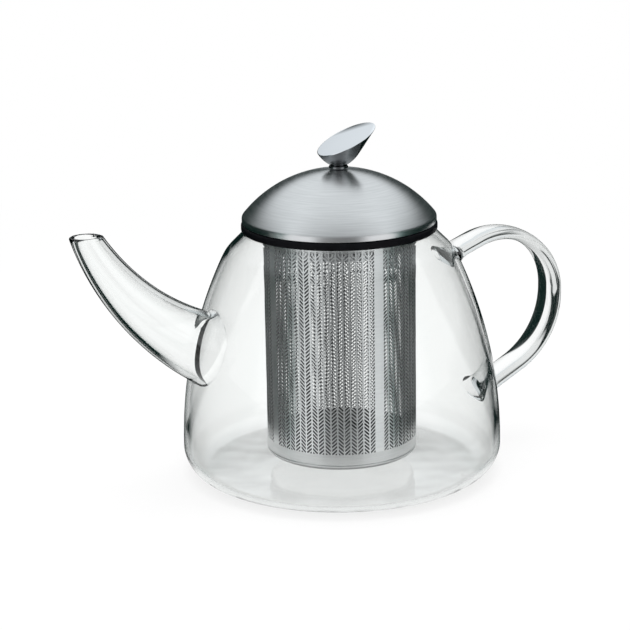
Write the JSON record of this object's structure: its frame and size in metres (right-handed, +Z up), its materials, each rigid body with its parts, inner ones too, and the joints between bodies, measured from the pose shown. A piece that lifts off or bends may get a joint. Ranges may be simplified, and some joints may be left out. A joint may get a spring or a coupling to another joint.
{
  "type": "glass teapot with infuser",
  "caption": "Conical clear glass teapot with a curved spout, a flat loop handle, a perforated steel infuser and a domed steel lid with a slanted knob.",
  "frame": {"origin": "on the surface that the pot stands on, on the pot's vertical axis", "axes": "+Z up along the pot's axis, the spout points to -X and the handle to +X"},
  "size_m": [0.2382, 0.145, 0.1583],
  "materials": {
    "glass": "clear fire-polished borosilicate",
    "infuser_steel": "satin perforated sheet",
    "lid_steel": "circular brushed",
    "knob_chrome": "polished",
    "seal": "black silicone, satin"
  },
  "bodies": {
    "glass_pot": {"glass_base": "glass", "glass_body": "glass", "spout": "glass", "handle": "glass"},
    "infuser": {"basket_sleeve": "infuser_steel", "basket_floor": "infuser_steel", "basket_collar": "infuser_steel"},
    "lid_ring": {"lid_seal": "seal"},
    "lid": {"lid_dome": "lid_steel", "lid_skirt": "lid_steel", "knob_collar": "knob_chrome", "knob": "knob_chrome", "knob_washer": "infuser_steel", "knob_screw": "infuser_steel"}
  },
  "joints": [
    {"name": "infuser_lift", "type": "slide", "parent": "glass_pot", "child": "infuser", "axis": [0, 0, 1], "range_m": [0, 0.115]},
    {"name": "lid_lift", "type": "slide", "parent": "infuser", "child": "lid_ring", "axis": [0, 0, 1], "range_m": [0, 0.06]},
    {"name": "lid_turn", "type": "hinge", "parent": "lid_ring", "child": "lid", "pos_m": [0, 0, 0.1165], "axis": [0, 0, 1], "continuous": true}
  ]
}
